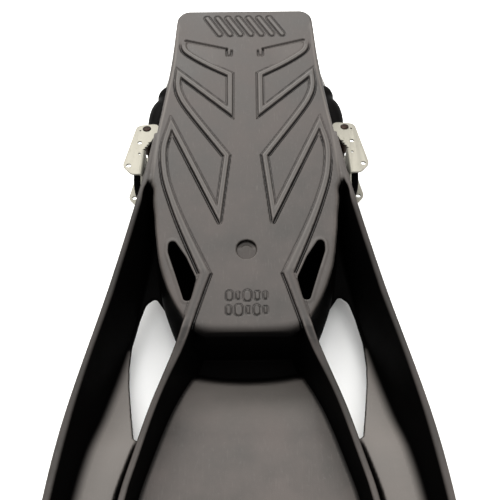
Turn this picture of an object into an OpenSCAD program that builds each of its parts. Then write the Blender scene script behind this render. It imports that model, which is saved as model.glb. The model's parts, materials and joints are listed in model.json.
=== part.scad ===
// Vented rubber swim fin for diving, lying sole up, with a stainless spring heel strap.
// Fin frame: X runs from the heel edge of the sole to the blade tip, Y is sideways,
// and Z = 0 is the flat of the sole, with the foot pocket below it.

/* [Sole] */
// Length of the sole from its heel edge to its toe edge
sole_len = 298; // [270:1:330]
// Half width of the sole at the heel
heel_half = 59; // [52:1:64]
// Thickness of the sole plate
sole_t = 8; // [6:0.5:10]
// Height of the tread ridges above the sole
tread_h = 1.4; // [0.8:0.1:2.4]
// Width of a tread ridge
tread_w = 5; // [3.5:0.5:7]

/* [Foot pocket] */
// Depth of the pocket from the sole's face to the crown of the instep
pocket_depth = 88; // [78:1:100]
// Wall of the foot pocket
pocket_wall = 4.5; // [3.5:0.5:7]
// Thickness of the wall that closes the toe end
toe_wall = 8; // [5:0.5:12]
// Distance from the heel edge to the front of the foot opening at the instep
opening_len = 116; // [100:1:135]

/* [Blade] */
// Length from the heel edge to the blade tip
fin_len = 640; // [590:1:700]
// Half width over the outer rails at the blade
blade_half = 137; // [125:1:150]
// Thickness of the blade web between the rails
web_t = 5; // [4:0.5:8]
// Width of the top of an inner rib
rib_w = 9; // [7:0.5:11]
// Depth of the outer rails at the tip
tip_depth = 40; // [32:1:46]
// Depth of the notch in the middle of the tip
notch_depth = 12; // [0:1:24]

/* [Strap posts] */
// Distance of the post axis from the heel edge
post_x = 147; // [135:1:160]
// Depth of the post axis below the sole's face
post_z = 42; // [36:1:48]
// Diameter of the post where the bracket turns
post_d = 14; // [11:0.5:17]
// Diameter of the post's knob
knob_d = 30; // [26:0.5:34]
// Thickness of the post's knob
knob_t = 6.6; // [5:0.2:8]
// Distance of the bracket web from the middle plane
web_y = 84.5; // [83:0.5:90]

/* [Strap hardware] */
// Height of a bracket over both flanges
bracket_h = 39; // [37:0.5:44]
// Sheet thickness of a bracket
sheet_t = 1.5; // [1:0.1:2]
// Diameter of a clevis pin
pin_d = 6; // [4.5:0.5:7]
// Diameter of the lanyard holes at the front of each bracket
lanyard_d = 4; // [3:0.5:5]
// Diameter of the spare holes in the middle of each bracket
spare_d = 3.6; // [3:0.2:4.6]
// Outer diameter of a strap spring
spring_d = 15; // [12:0.5:17]
// Wire diameter of a strap spring
wire_d = 2.4; // [1.6:0.1:3]
// Length of the spring between its two sleeves
spring_len = 46; // [36:1:56]
// Height of the heel pad
pad_h = 28; // [22:1:34]
// Room for a thumb between the heel pad and its pull loop
thumb_gap = 20; // [16:1:26]

/* [Hidden] */
$fn = 48;

left = -1;
right = 1;
running_gap = 0.08; // radial clearance of a pin or post in its hole
step = 12; // spacing of the stations along a curved edge
rubber = [0.17, 0.165, 0.16];
steel = [0.82, 0.81, 0.77];

// Smooth curve through a short list of [x, y] points, as a height for any x
function span(p, x, i = 0) = (i >= len(p) - 2 || x <= p[i + 1][0]) ? i : span(p, x, i + 1);
function rise(p, a, b) = (p[b][1] - p[a][1]) / (p[b][0] - p[a][0]);
function slope(p, i) = rise(p, max(i - 1, 0), min(i + 1, len(p) - 1));
function along(p, x) =
    let (
        i = span(p, x),
        h = p[i + 1][0] - p[i][0],
        t = min(max((x - p[i][0]) / h, 0), 1),
        from = 2 * t * t * t - 3 * t * t + 1,
        leave = t * t * t - 2 * t * t + t,
        arrive = t * t * t - t * t
    )
    p[i][1] * from + p[i + 1][1] * (1 - from) + h * (slope(p, i) * leave + slope(p, i + 1) * arrive);
function stations(a, b, d = step) = [for (i = [0 : ceil((b - a) / d)]) a + (b - a) * i / ceil((b - a) / d)];
function reversed(p) = [for (i = [len(p) - 1 : -1 : 0]) p[i]];

// Polygon with each corner replaced by an arc of its own radius: pts = [x, y, radius]
function unit(v) = v / norm(v);
function corner(p, i, n) =
    let (
        c = [p[i][0], p[i][1]],
        before = p[(i + n - 1) % n],
        after = p[(i + 1) % n],
        a = unit([before[0], before[1]] - c),
        b = unit([after[0], after[1]] - c),
        half = acos(a * b) / 2,
        r = p[i][2],
        centre = c + unit(a + b) * r / sin(half),
        u = c + a * r / tan(half) - centre,
        v = c + b * r / tan(half) - centre,
        start = atan2(u[1], u[0]),
        turn = (atan2(v[1], v[0]) - start + 540) % 360 - 180
    )
    r <= 0 ? [c] : [for (k = [0 : 6]) centre + r * [cos(start + turn * k / 6), sin(start + turn * k / 6)]];
function rounded(p) = [for (i = [0 : len(p) - 1]) each corner(p, i, len(p))];

// Edges of the moulding: half width at each distance from the heel
toe_x = sole_len;
vent_start = toe_x - 46;
vent_end = toe_x + 62;
rail_start = 130;
fork_x = 181; // where the sole's edge leaves the rail
wide = blade_half;
sole_edge = [[0, heel_half - 12], [4, heel_half - 4], [14, heel_half], [58, 62], [103, 68],
             [rail_start, 72], [fork_x, 75], [190, 72], [215, 69], [toe_x - 57, 65], [toe_x - 36, 58],
             [toe_x - 22, 51.6], [toe_x - 12, 45], [toe_x - 4, 38], [toe_x, 32]];
rail_out = [[rail_start, 73.5], [172, 81], [258, 99.5], [358, wide - 13], [425, wide - 3.5],
            [500, wide], [fin_len, wide - 1.5]];
rail_in = [[rail_start, 72], [fork_x, 75.4], [250, 88], [300, 99], [358, wide - 24],
           [425, wide - 14.5], [500, wide - 11], [fin_len, wide - 11.5]];
rib_line = [[toe_x - 47, 30.5], [toe_x - 12, 42.5], [toe_x + 49, 65.6], [toe_x + 104, 81],
            [toe_x + 162, 92], [toe_x + 222, 99], [fin_len, 104]];
pocket_edge = [[0, heel_half - 5], [40, 60], [103, 67], [post_x, 71], [fork_x, 73.4], [200, 73.6],
               [240, 71], [toe_x - 38, 68], [toe_x - 21, 63], [toe_x - 7, 58], [toe_x, 54]];

// Side views: height at each distance from the heel
rail_top = [[rail_start, 0], [450, 0], [560, -3], [fin_len, -8]];
rail_bottom = [[rail_start, -12], [160, -30], [200, -52], [250, -63], [300, -66], [400, -60],
               [500, -51], [fin_len, -tip_depth]];
side_top = [[170, -12], [190, -34], [215, -46], [250, -50], [300, -50], [345, -42], [372, -31],
            [405, -26], [450, -24], [fin_len, -19]];
middle_top = [[toe_x, -60], [toe_x + 13, -60], [toe_x + 17, -50], [toe_x + 45, -41],
              [toe_x + 75, -30], [toe_x + 107, -26], [toe_x + 152, -24], [fin_len, -19]];
rib_bottom = [[toe_x, -66], [toe_x + 45, -56], [toe_x + 107, -44], [450, -38], [fin_len, -26]];

crown_x = 185;
pocket_bottom = [[0, -30], [60, -52], [opening_len, 6 - pocket_depth], [crown_x, -pocket_depth],
                 [240, 6 - pocket_depth], [toe_x - 20, -73], [toe_x, -66]];

// Rest position: the instep's crown and the tip of the rails lie on the floor
rest_pitch = max([for (x = stations(crown_x, 240, 2))
    atan((-along(pocket_bottom, x) - tip_depth) / (fin_len - x))]);
floor_drop = fin_len * sin(rest_pitch) + tip_depth * cos(rest_pitch);
pad_rear = 213; // distance of the heel pad's back from the post axis

// Strap frame: origin on the post axis, -X towards the heel pad, tilted until the pad meets the floor
post_above_floor = floor_drop - post_x * sin(rest_pitch) - post_z * cos(rest_pitch);
strap_droop = rest_pitch + asin((post_above_floor - 0.4) / norm([pad_rear, pad_h / 2]))
    - atan(pad_h / 2 / pad_rear);
pin_back = 44; // distance of a clevis pin behind the post axis
pin_y = web_y + 1;
leg_angle = 10.4; // how far each strap leg leans in towards the heel
sleeve_len = 76;
leg_len = sleeve_len + spring_len;
arc_back = pin_back + leg_len * cos(leg_angle);
arc_half = pin_y - leg_len * sin(leg_angle);
arc_depth = pad_rear - arc_back - 4;
loop_t = 6;
loop_rear = pad_rear + thumb_gap + loop_t;

// Half way between the blade's tip and the pull loop, along the floor
tip_at = fin_len * cos(rest_pitch) - 8 * sin(rest_pitch);
rear_at = post_x * cos(rest_pitch) - post_z * sin(rest_pitch)
    - loop_rear * cos(strap_droop - rest_pitch) - loop_t / 4;
row_shift = -(tip_at + rear_at) / 2;

module placed() {
    translate([row_shift, 0, floor_drop])
        rotate([0, rest_pitch, 0])
            children();
}

module on_strap() {
    placed()
        translate([post_x, 0, -post_z])
            rotate([0, -strap_droop, 0])
                children();
}

// A leg frame starts on the clevis pin's axis, with -X along the leg
module on_leg(side) {
    on_strap()
        translate([-pin_back, side * pin_y, 0])
            rotate([0, 0, side * leg_angle])
                children();
}

// Plan outline pulled down over the whole depth of the fin
module plan(points) {
    translate([0, 0, -120])
        linear_extrude(140)
            polygon(points);
}

// Side outline pulled across the whole width of the fin
module profile(points) {
    rotate([90, 0, 0])
        translate([0, 0, -160])
            linear_extrude(320)
                polygon(points);
}

function band(x_list, low, high) =
    concat([for (x = x_list) [x, low(x)]], [for (x = reversed(x_list)) [x, high(x)]]);

// Everything the blade's tip may fill: round corners and a shallow middle notch
module tip_limit() {
    corner_r = 24;
    y_list = stations(-wide - 2, wide + 2, 6);
    function tip(y) = fin_len - notch_depth * max(0, 1 - pow(y / 62, 2))
        - (abs(y) > wide - corner_r
            ? corner_r - sqrt(max(corner_r * corner_r - pow(abs(y) - wide + corner_r, 2), 0.01)) : 0);
    plan(concat([[0, wide + 2], [0, -wide - 2]], [for (y = y_list) [tip(y), y]]));
}

module tread_band(points, width = tread_w) {
    n = len(points);
    function way(i) = unit(points[min(i + 1, n - 1)] - points[max(i - 1, 0)]);
    function aside(i) = [-way(i)[1], way(i)[0]] * width / 2;
    translate([0, 0, -1])
        linear_extrude(1 + tread_h)
            polygon(concat([for (i = [0 : n - 1]) points[i] - aside(i)],
                           [for (i = [n - 1 : -1 : 0]) points[i] + aside(i)]));
}

module sole_plate() {
    x_list = concat([0, 2, 4, 8, 14], stations(26, rail_start), stations(rail_start + 10, fork_x),
                    stations(190, toe_x - 22, 8), [toe_x - 12, toe_x - 7, toe_x - 3, toe_x]);
    edge = [for (x = x_list) [x, x > rail_start && x <= fork_x ? along(rail_in, x) : along(sole_edge, x)]];
    rib_run = stations(toe_x - 47, toe_x, 8);
    color(rubber) placed() difference() {
        union() {
            translate([0, 0, -sole_t])
                linear_extrude(sole_t)
                    polygon(concat(edge, [for (p = reversed(edge)) [p[0], -p[1]]]));
            for (side = [left, right]) {
                tread_band([[34, side * 51], [43, side * 15]]);
                tread_band([[46, side * 51], [58, side * 33], [70, side * 14]]);
                tread_band([[70, side * 12], [112, side * 12]]);
                tread_band([[66, side * 56], [112, side * 12]]);
                tread_band([[66, side * 56], [86, side * 55], [100, side * 50], [150, side * 15]]);
                tread_band([[150, side * 15], [209, side * 21]]);
                tread_band([[209, side * 21], [124, side * 61]]);
                tread_band([[124, side * 61], [145, side * 66], [166, side * 65], [206, side * 52],
                            [toe_x - 47, side * 30.5]]);
                translate([0, 0, -sole_t])
                    linear_extrude(sole_t + tread_h)
                        polygon(band(rib_run, function (x) side * along(rib_line, x) - rib_w / 2,
                                     function (x) side * along(rib_line, x) + rib_w / 2));
            }
        }
        translate([232, 0, -1.5])
            cylinder(d = 15, h = 10);
        for (side = [left, right])
            plan(rounded([[223, side * 53, 2], [248, side * 53, 4], [270, side * 45, 3],
                          [254, side * 38, 3]]));
    }
}

// Foot pocket: a U-shaped shell swept along slanted stations from the heel opening to the toe
pocket_rings = 15;
pocket_arc = 24;
// Share of the way round the U, 0 at the sole's edge and 1 at the crown
function swing(a) = pow(sin(a), 2);
function pocket_point(k, a, wall, end_x) =
    let (
        t = k / (pocket_rings - 1),
        top_x = 5 + t * (end_x - 5),
        low_x = opening_len + t * (end_x - opening_len),
        x = top_x + (low_x - top_x) * swing(a),
        w = along(pocket_edge, x) - wall,
        h = -along(pocket_bottom, x) - sole_t - wall,
        y = w * sign(cos(a)) * pow(abs(cos(a)), 0.55),
        z = -sole_t - h * pow(sin(a), 0.72)
    )
    [x, abs(cos(a)) < 0.001 ? 0 : y, z];

module foot_pocket() {
    n = pocket_arc + 1;
    m = pocket_rings;
    outer = [for (k = [0 : m - 1]) for (j = [0 : n - 1]) pocket_point(k, 180 * j / pocket_arc, 0, toe_x)];
    inner = [for (k = [0 : m - 1]) for (j = [0 : n - 1])
        pocket_point(k, 180 * j / pocket_arc, pocket_wall, toe_x - toe_wall)];
    o = n * m;
    skin = [for (k = [0 : m - 2]) for (j = [0 : n - 2]) each [
        [k * n + j, (k + 1) * n + j, (k + 1) * n + j + 1],
        [k * n + j, (k + 1) * n + j + 1, k * n + j + 1],
        [o + k * n + j, o + (k + 1) * n + j + 1, o + (k + 1) * n + j],
        [o + k * n + j, o + k * n + j + 1, o + (k + 1) * n + j + 1]]];
    mouth = [for (j = [0 : n - 2]) each [[j, j + 1, o + j + 1], [j, o + j + 1, o + j]]];
    rims = [for (k = [0 : m - 2]) each [
        [k * n, o + k * n, o + (k + 1) * n],
        [k * n, o + (k + 1) * n, (k + 1) * n],
        [k * n + n - 1, o + (k + 1) * n + n - 1, o + k * n + n - 1],
        [k * n + n - 1, (k + 1) * n + n - 1, o + (k + 1) * n + n - 1]]];
    last = (m - 1) * n;
    caps = [[for (j = [n - 1 : -1 : 0]) last + j],
            [for (j = [0 : n - 1]) o + last + j],
            [last, o + last, o + last + n - 1, last + n - 1]];
    faces = concat(skin, mouth, rims, caps);
    color(rubber) placed()
        polyhedron(concat(outer, inner), [for (f = faces) reversed(f)], convexity = 8);
}

module outer_rail(side) {
    x_list = concat(stations(rail_start, fork_x), stations(190, fin_len));
    color(rubber) placed() intersection() {
        plan(band(x_list, function (x) side * along(rail_in, x), function (x) side * along(rail_out, x)));
        profile(band(stations(rail_start, fin_len, 20), function (x) along(rail_bottom, x),
                     function (x) along(rail_top, x)));
        tip_limit();
    }
}

module inner_rib(side) {
    x_list = stations(toe_x, fin_len);
    color(rubber) placed() intersection() {
        plan(band(x_list, function (x) side * along(rib_line, x) - rib_w / 2,
                  function (x) side * along(rib_line, x) + rib_w / 2));
        profile(band(stations(toe_x, fin_len, 20), function (x) along(rib_bottom, x),
                     function (x) x == toe_x ? tread_h : along(rail_top, x) - 0.5));
        tip_limit();
    }
}

function web_profile(line, a, b, d) =
    band(stations(a, b, d), function (x) along(line, x) - web_t, function (x) along(line, x));

// Web between a rail and the pocket or rib, with the see-through side vent
module side_web(side) {
    root_in = 3; // how far the web runs into the pocket's wall
    front = stations(toe_x, fin_len);
    vent = [for (p = rounded([[vent_start, 73, 5], [toe_x - 6, 54, 2], [toe_x + 22, 66, 2],
                              [vent_end, 84, 4], [toe_x + 38, 93, 30], [toe_x + 4, 95, 40],
                              [vent_start + 10, 84, 14]])) [p[0], side * p[1]]];
    color(rubber) placed() difference() {
        intersection() {
            union() {
                plan(band(stations(170, toe_x), function (x) side * (along(pocket_edge, x) - root_in),
                          function (x) side * along(rail_in, x)));
                plan(band(front, function (x) side * (along(rib_line, x) + rib_w / 2),
                          function (x) side * along(rail_in, x)));
            }
            profile(web_profile(side_top, 170, fin_len, 10));
            tip_limit();
        }
        plan(vent);
    }
}

module blade_web() {
    x_list = stations(toe_x, fin_len);
    color(rubber) placed() intersection() {
        plan(band(x_list, function (x) -along(rib_line, x) + rib_w / 2,
                  function (x) along(rib_line, x) - rib_w / 2));
        profile(web_profile(middle_top, toe_x, fin_len, 6));
        tip_limit();
    }
}

// Round moulded post: boss on the pocket's side, neck for the bracket, and a knob
module strap_post(side) {
    boss_d = knob_d - 5;
    root_y = along(pocket_edge, post_x) - pocket_wall / 2;
    gap = 0.3;
    web_out = web_y + sheet_t + gap;
    color(rubber) placed()
        translate([post_x, 0, -post_z])
            rotate([side * -90, 0, 0])
                rotate_extrude()
                    polygon([[0, root_y], [boss_d / 2, root_y], [boss_d / 2 - 2, web_y - gap],
                             [post_d / 2, web_y - gap], [post_d / 2, web_out],
                             [knob_d / 2 - 1.5, web_out], [knob_d / 2, web_out + 1.5],
                             [knob_d / 2, web_out + knob_t - 2], [knob_d / 2 - 2, web_out + knob_t],
                             [0, web_out + knob_t]]);
}

// U-shaped stainless bracket: a web with the post hole and two parallel flanges
module bracket(side) {
    out = web_y;
    flange = rounded([[13, out, 0], [13, out + 9, 6], [3, out + 17, 8], [-49, out + 10, 6],
                      [-51, out - 10, 5], [-40, out - 9, 4], [-17, out, 0]]);
    web = rounded([[-17, -bracket_h / 2, 0], [13, -bracket_h / 2, 0], [20, -bracket_h / 2 + 9, 6],
                   [20, bracket_h / 2 - 9, 6], [13, bracket_h / 2, 0], [-17, bracket_h / 2, 0]]);
    color(steel) on_strap() difference() {
        union() {
            for (low = [-bracket_h / 2, bracket_h / 2 - sheet_t])
                translate([0, 0, low])
                    linear_extrude(sheet_t)
                        polygon([for (p = flange) [p[0], side * p[1]]]);
            translate([0, side * (out + sheet_t / 2), 0])
                rotate([90, 0, 0])
                    translate([0, 0, -sheet_t / 2])
                        linear_extrude(sheet_t)
                            polygon(web);
        }
        translate([0, side * out, 0])
            rotate([90, 0, 0])
                cylinder(d = post_d + 2 * running_gap, h = 20, center = true);
        for (hole = [[-pin_back, pin_y, pin_d + 2 * running_gap], [-26, out + 5.5, spare_d],
                     [2.5, out + 12, lanyard_d], [-pin_back + 2, pin_y + 5.5, 1.6],
                     [-12, out + 4.4, 2]])
            translate([hole[0], side * hole[1], -bracket_h])
                cylinder(d = hole[2], h = 2 * bracket_h);
    }
}

clip_t = 1;
clip_at = bracket_h / 2 + 0.4; // distance of the clip's inner face from the middle
groove_r = pin_d / 2 - 0.8;

module clevis_pin(side) {
    head_r = pin_d / 2 + 1.6;
    top = bracket_h / 2 + 0.1;
    color(steel) on_leg(side)
        rotate_extrude()
            polygon([[0, -clip_at - 3], [pin_d / 2 - 0.6, -clip_at - 3], [pin_d / 2, -clip_at - 2.4],
                     [pin_d / 2, -clip_at - clip_t], [groove_r, -clip_at - clip_t],
                     [groove_r, -clip_at], [pin_d / 2, -clip_at], [pin_d / 2, top], [head_r, top],
                     [head_r, top + 1.2], [head_r - 0.8, top + 2], [0, top + 2]]);
}

// Open retaining ring snapped into the pin's groove
module pin_clip(side) {
    color(steel) on_leg(side)
        translate([0, 0, -clip_at - clip_t])
            linear_extrude(clip_t)
                difference() {
                    circle(r = pin_d / 2 + 2.2);
                    circle(r = groove_r);
                    translate([0, -groove_r])
                        square([pin_d, 2 * groove_r]);
                }
}

eye_r = pin_d / 2 + 2.6;
shank_r = 3;

// Eye that turns on the clevis pin, with a shank that carries the spring
module spring_hook(side) {
    eye_h = 12;
    color(steel) on_leg(side) difference() {
        union() {
            cylinder(r = eye_r, h = eye_h, center = true);
            rotate([0, -90, 0])
                cylinder(r = shank_r, h = sleeve_len - 18);
            translate([-sleeve_len + 18, 0, 0])
                rotate([0, -90, 0])
                    cylinder(r = spring_d / 2 - wire_d - 0.3, h = 8);
        }
        cylinder(r = pin_d / 2 + running_gap, h = 30, center = true);
    }
}

// Bulb-shaped rubber sleeve over the front end of the spring
module front_sleeve(side) {
    inner = spring_d / 2;
    color(rubber) on_leg(side)
        rotate([0, -90, 0])
            rotate_extrude()
                polygon([[shank_r, 9], [6, 9], [6.6, 12], [7.6, 22], [10, 32], [11.2, 39], [11.5, 45],
                         [11, 51], [9.4, 57], [8.6, 61], [8.9, 64], [9.8, 67], [10, 70], [9.8, 73],
                         [8.9, sleeve_len], [inner, sleeve_len], [inner, sleeve_len - 18],
                         [shank_r, sleeve_len - 18]]);
}

// Closed coil of wire, drawn as a tube with a round bead for each turn
module spring(side) {
    start = sleeve_len - 18;
    end = leg_len + 8;
    turns = round((end - start) / wire_d);
    pitch = (end - start) / turns;
    core = spring_d / 2 - wire_d;
    mean = spring_d / 2 - wire_d / 2 - 0.1;
    bead = [for (i = [0 : turns - 1]) for (a = [-60 : 40 : 60])
        [mean + wire_d / 2 * cos(a), start + pitch * (i + 0.5 + sin(a) / 2)]];
    color(steel) on_leg(side)
        rotate([0, -90, 0])
            rotate_extrude()
                polygon(concat([[core, start], [mean, start]], bead, [[mean, end], [core, end]]));
}

// Button in the spring's rear end that hooks it to the heel pad
module rear_anchor(side) {
    fit_r = spring_d / 2 - wire_d - 0.1;
    color(steel) on_leg(side)
        translate([-leg_len, 0, 0])
            rotate([0, -90, 0])
                rotate_extrude()
                    polygon([[0, -3], [fit_r - 1, -3], [fit_r, -2], [fit_r, 10], [3, 10], [3, 14],
                             [0, 14]]);
}

// Heel band with a sleeve at each end, a thicker pad behind the heel and a thumb loop
module heel_pad() {
    band_t = 7;
    cuff_r = spring_d / 2 + 2.2;
    cuff_len = 20;
    loop_half = 31;
    root_in = 8; // how far the loop's ends start inside the band
    loop_reach = root_in + 4 + thumb_gap;
    a_list = [for (a = [-90 : 10 : 90]) a];
    function arc(a, t) = [-arc_back - 10 - (arc_depth - 10 + t) * cos(a), (arc_half + t) * sin(a)];
    function loop(a, t) = [-arc_back - arc_depth + root_in - (loop_reach + t) * cos(a),
                           (loop_half + t) * sin(a)];
    color(rubber) on_strap() difference() {
        union() {
            translate([0, 0, -pad_h / 2 + 3])
                linear_extrude(pad_h - 6)
                    polygon(concat([for (a = a_list) arc(a, band_t / 2)],
                                   [for (a = reversed(a_list)) arc(a, -band_t / 2)]));
            translate([0, 0, -pad_h / 2])
                linear_extrude(pad_h)
                    polygon(concat([for (a = [-50 : 10 : 50]) arc(a, band_t / 2 + 0.5)],
                                   [for (a = [50 : -10 : -50]) arc(a, -band_t / 2 - 0.5)]));
            translate([0, 0, -8])
                linear_extrude(16)
                    polygon(concat([for (a = a_list) loop(a, loop_t)],
                                   [for (a = reversed(a_list)) loop(a, 0)]));
            for (side = [left, right])
                translate([-pin_back, side * pin_y, 0])
                    rotate([0, 0, side * leg_angle])
                        translate([-leg_len, 0, 0])
                            rotate([0, -90, 0])
                                cylinder(r = cuff_r, h = cuff_len);
        }
        for (side = [left, right])
            translate([-pin_back, side * pin_y, 0])
                rotate([0, 0, side * leg_angle])
                    translate([-leg_len, 0, 0])
                        rotate([0, -90, 0]) {
                            translate([0, 0, -1])
                                cylinder(d = spring_d, h = 11);
                            translate([0, 0, 9])
                                cylinder(r = 3, h = 5);
                        }
    }
}

sole_plate();
foot_pocket();
outer_rail(left);  // outer_rail_left
outer_rail(right);  // outer_rail_right
inner_rib(left);  // inner_rib_left
inner_rib(right);  // inner_rib_right
side_web(left);  // side_web_left
side_web(right);  // side_web_right
blade_web();
strap_post(left);  // strap_post_left
strap_post(right);  // strap_post_right
bracket(left);  // bracket_left
bracket(right);  // bracket_right
clevis_pin(left);  // clevis_pin_left
clevis_pin(right);  // clevis_pin_right
pin_clip(left);  // pin_clip_left
pin_clip(right);  // pin_clip_right
spring_hook(left);  // spring_hook_left
spring_hook(right);  // spring_hook_right
front_sleeve(left);  // front_sleeve_left
front_sleeve(right);  // front_sleeve_right
spring(left);  // spring_left
spring(right);  // spring_right
rear_anchor(left);  // rear_anchor_left
rear_anchor(right);  // rear_anchor_right
heel_pad();
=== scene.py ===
import json
import math
import bmesh
import bpy
import numpy as np
from mathutils import Matrix, Vector


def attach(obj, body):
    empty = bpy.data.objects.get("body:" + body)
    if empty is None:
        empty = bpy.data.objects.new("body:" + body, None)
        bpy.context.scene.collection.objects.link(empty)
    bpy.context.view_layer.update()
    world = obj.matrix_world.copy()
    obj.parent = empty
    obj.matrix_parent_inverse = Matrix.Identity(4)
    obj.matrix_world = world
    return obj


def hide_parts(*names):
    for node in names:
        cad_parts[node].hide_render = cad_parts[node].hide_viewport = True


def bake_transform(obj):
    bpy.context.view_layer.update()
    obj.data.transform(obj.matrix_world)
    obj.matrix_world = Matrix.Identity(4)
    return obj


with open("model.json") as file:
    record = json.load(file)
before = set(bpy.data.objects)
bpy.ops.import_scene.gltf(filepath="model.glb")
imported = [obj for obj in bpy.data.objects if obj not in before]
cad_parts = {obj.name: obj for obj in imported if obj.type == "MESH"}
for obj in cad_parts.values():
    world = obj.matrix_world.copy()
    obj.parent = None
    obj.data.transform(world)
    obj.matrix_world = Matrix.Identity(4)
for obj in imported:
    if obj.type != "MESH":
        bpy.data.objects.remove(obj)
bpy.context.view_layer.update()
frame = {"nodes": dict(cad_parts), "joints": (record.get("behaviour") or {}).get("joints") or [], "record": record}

record = frame["record"]
mounts = {m["name"]: m for m in record["mounts"]}
joints = {j["name"]: j for j in frame["joints"]}
print("frame loaded")

# All sizes are millimetres in the fin frame: x from the heel edge, y sideways, z up from the sole
fin = {
    "soleLength": 298, "soleThickness": 8, "finLength": 640, "halfWidth": 137, "heelCorner": 10,
    "webThickness": 5, "pocketWall": 4.5, "pocketSide": 3.64, "pocketCrown": 2.78,
    "openingFrom": 5, "openingTo": 116, "openingBead": 3.4, "railStart": 128, "webStart": 168,
    "postX": 147, "postDepth": 42, "postRadius": 6.75, "bossRadius": 12.5, "knobRadius": 15,
    "ridgeHeight": 0.7, "ridgeHalf": 2.35, "grooveDepth": 1.0, "panelDrop": 0.7, "mitre": 7.5,
    "recessX": 232, "recessRadius": 7.5, "recessDepth": 1.5, "toeBow": 6, "tipBow": 12, "tipCorner": 24,
    "finePitch": 0.72, "coarsePitch": 1.35, "triangles": 190000,
}


# Rest placement of the fin and of the strap in the row frame
def axesFrom(normal):
    z = np.array(normal, float)
    z /= np.linalg.norm(z)
    return np.array([[z[2], 0, -z[0]], [0, 1, 0], z]).T


finAxes = axesFrom(mounts["sole_face"]["axis"])
strapAxes = axesFrom(mounts["lanyard_hole_left"]["axis"])
postRow = np.array(joints["strap_swing"]["pos_m"], float) * 1000
finOrigin = postRow - finAxes @ np.array([fin["postX"], 0, -fin["postDepth"]])
strapOrigin = postRow


def toRow(points, axes, origin):
    return (np.asarray(points, float) @ axes.T + origin) / 1000


# Smooth curve through a short list of points, for an array of x
def along(points, x):
    px, py = np.array(points, float).T
    n = len(px)
    low, high = np.maximum(np.arange(n) - 1, 0), np.minimum(np.arange(n) + 1, n - 1)
    slope = (py[high] - py[low]) / (px[high] - px[low])
    i = np.clip(np.searchsorted(px, x, side="left") - 1, 0, n - 2)
    h = px[i + 1] - px[i]
    t = np.clip((x - px[i]) / h, 0, 1)
    stay = 2 * t**3 - 3 * t**2 + 1
    bend = slope[i] * (t**3 - 2 * t**2 + t) + slope[i + 1] * (t**3 - t**2)
    return py[i] * stay + py[i + 1] * (1 - stay) + h * bend


def offCurve(points, x, other):
    rise = along(points, x + 0.5) - along(points, x - 0.5)
    return (other - along(points, x)) / np.sqrt(1 + rise**2)


# Rounded intersection and filleted union of two distance fields
def cutBoth(a, b, r):
    return np.where((a > -r) & (b > -r), np.hypot(a + r, b + r) - r, np.maximum(a, b))


def join(a, b, r):
    return np.where((a < r) & (b < r), r - np.hypot(r - a, r - b), np.minimum(a, b))


def smoothStep(a, b, x):
    t = np.clip((x - a) / (b - a), 0, 1)
    return t * t * (3 - 2 * t)


def lineDistance(points, x, y):
    best = np.full(np.broadcast(x, y).shape, 1e6)
    for (ax, ay), (bx, by) in zip(points[:-1], points[1:]):
        dx, dy = bx - ax, by - ay
        t = np.clip(((x - ax) * dx + (y - ay) * dy) / (dx * dx + dy * dy), 0, 1)
        best = np.minimum(best, np.hypot(x - ax - t * dx, y - ay - t * dy))
    return best


# Folded line of (x, y, half width) with mitred corners: distance to its middle, half width there,
# and how far the way from it points towards the toe
def foldedLine(points, x, y):
    p = np.array(points, float)
    way = np.diff(p[:, :2], axis=0)
    length = np.hypot(way[:, 0], way[:, 1])
    way = way / length[:, None]
    turn = way[:-1] + way[1:]
    best, half, toeward = [np.full(np.broadcast(x, y).shape, value) for value in (1e3, 2.0, 0.0)]
    for i, (dx, dy) in enumerate(way):
        (ax, ay, aw), (bx, by, bw) = p[i], p[i + 1]
        run = (x - ax) * dx + (y - ay) * dy
        side = (y - ay) * dx - (x - ax) * dy
        start = turn[i - 1] if i > 0 else way[i]
        stop = turn[i] if i < len(turn) else way[i]
        mine = (x - ax) * start[0] + (y - ay) * start[1] >= 0
        mine &= (x - bx) * stop[0] + (y - by) * stop[1] <= 0
        mine &= (run > -fin["mitre"]) & (run < length[i] + fin["mitre"]) & (np.abs(side) < best)
        best = np.where(mine, np.abs(side), best)
        half = np.where(mine, aw + (bw - aw) * np.clip(run / length[i], 0, 1), half)
        toeward = np.where(mine, -np.sign(side) * dy, toeward)
    return best, half, toeward


def polygonDistance(points, x, y):
    best = lineDistance(points + points[:1], x, y)
    inside = np.zeros(best.shape, bool)
    for (ax, ay), (bx, by) in zip(points, points[1:] + points[:1]):
        crosses = (ay > y) != (by > y)
        at = ax + (y - ay) / (by - ay if by != ay else 1e-9) * (bx - ax)
        inside ^= crosses & (x < at)
    return np.where(inside, -best, best)


# Polygon with each corner replaced by an arc of its own radius
def rounded(corners, steps=6):
    made = []
    n = len(corners)
    for i, (cx, cy, r) in enumerate(corners):
        c = np.array([cx, cy], float)
        a = np.array(corners[i - 1][:2], float) - c
        b = np.array(corners[(i + 1) % n][:2], float) - c
        a, b = a / np.linalg.norm(a), b / np.linalg.norm(b)
        if r <= 0:
            made.append(tuple(c))
            continue
        half = math.acos(max(-1, min(1, a @ b))) / 2
        middle = c + (a + b) / np.linalg.norm(a + b) * r / math.sin(half)
        u, v = c + a * r / math.tan(half) - middle, c + b * r / math.tan(half) - middle
        start = math.atan2(u[1], u[0])
        turn = (math.atan2(v[1], v[0]) - start + 3 * math.pi) % (2 * math.pi) - math.pi
        for k in range(steps + 1):
            w = start + turn * k / steps
            made.append((middle[0] + r * math.cos(w), middle[1] + r * math.sin(w)))
    return made


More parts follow.
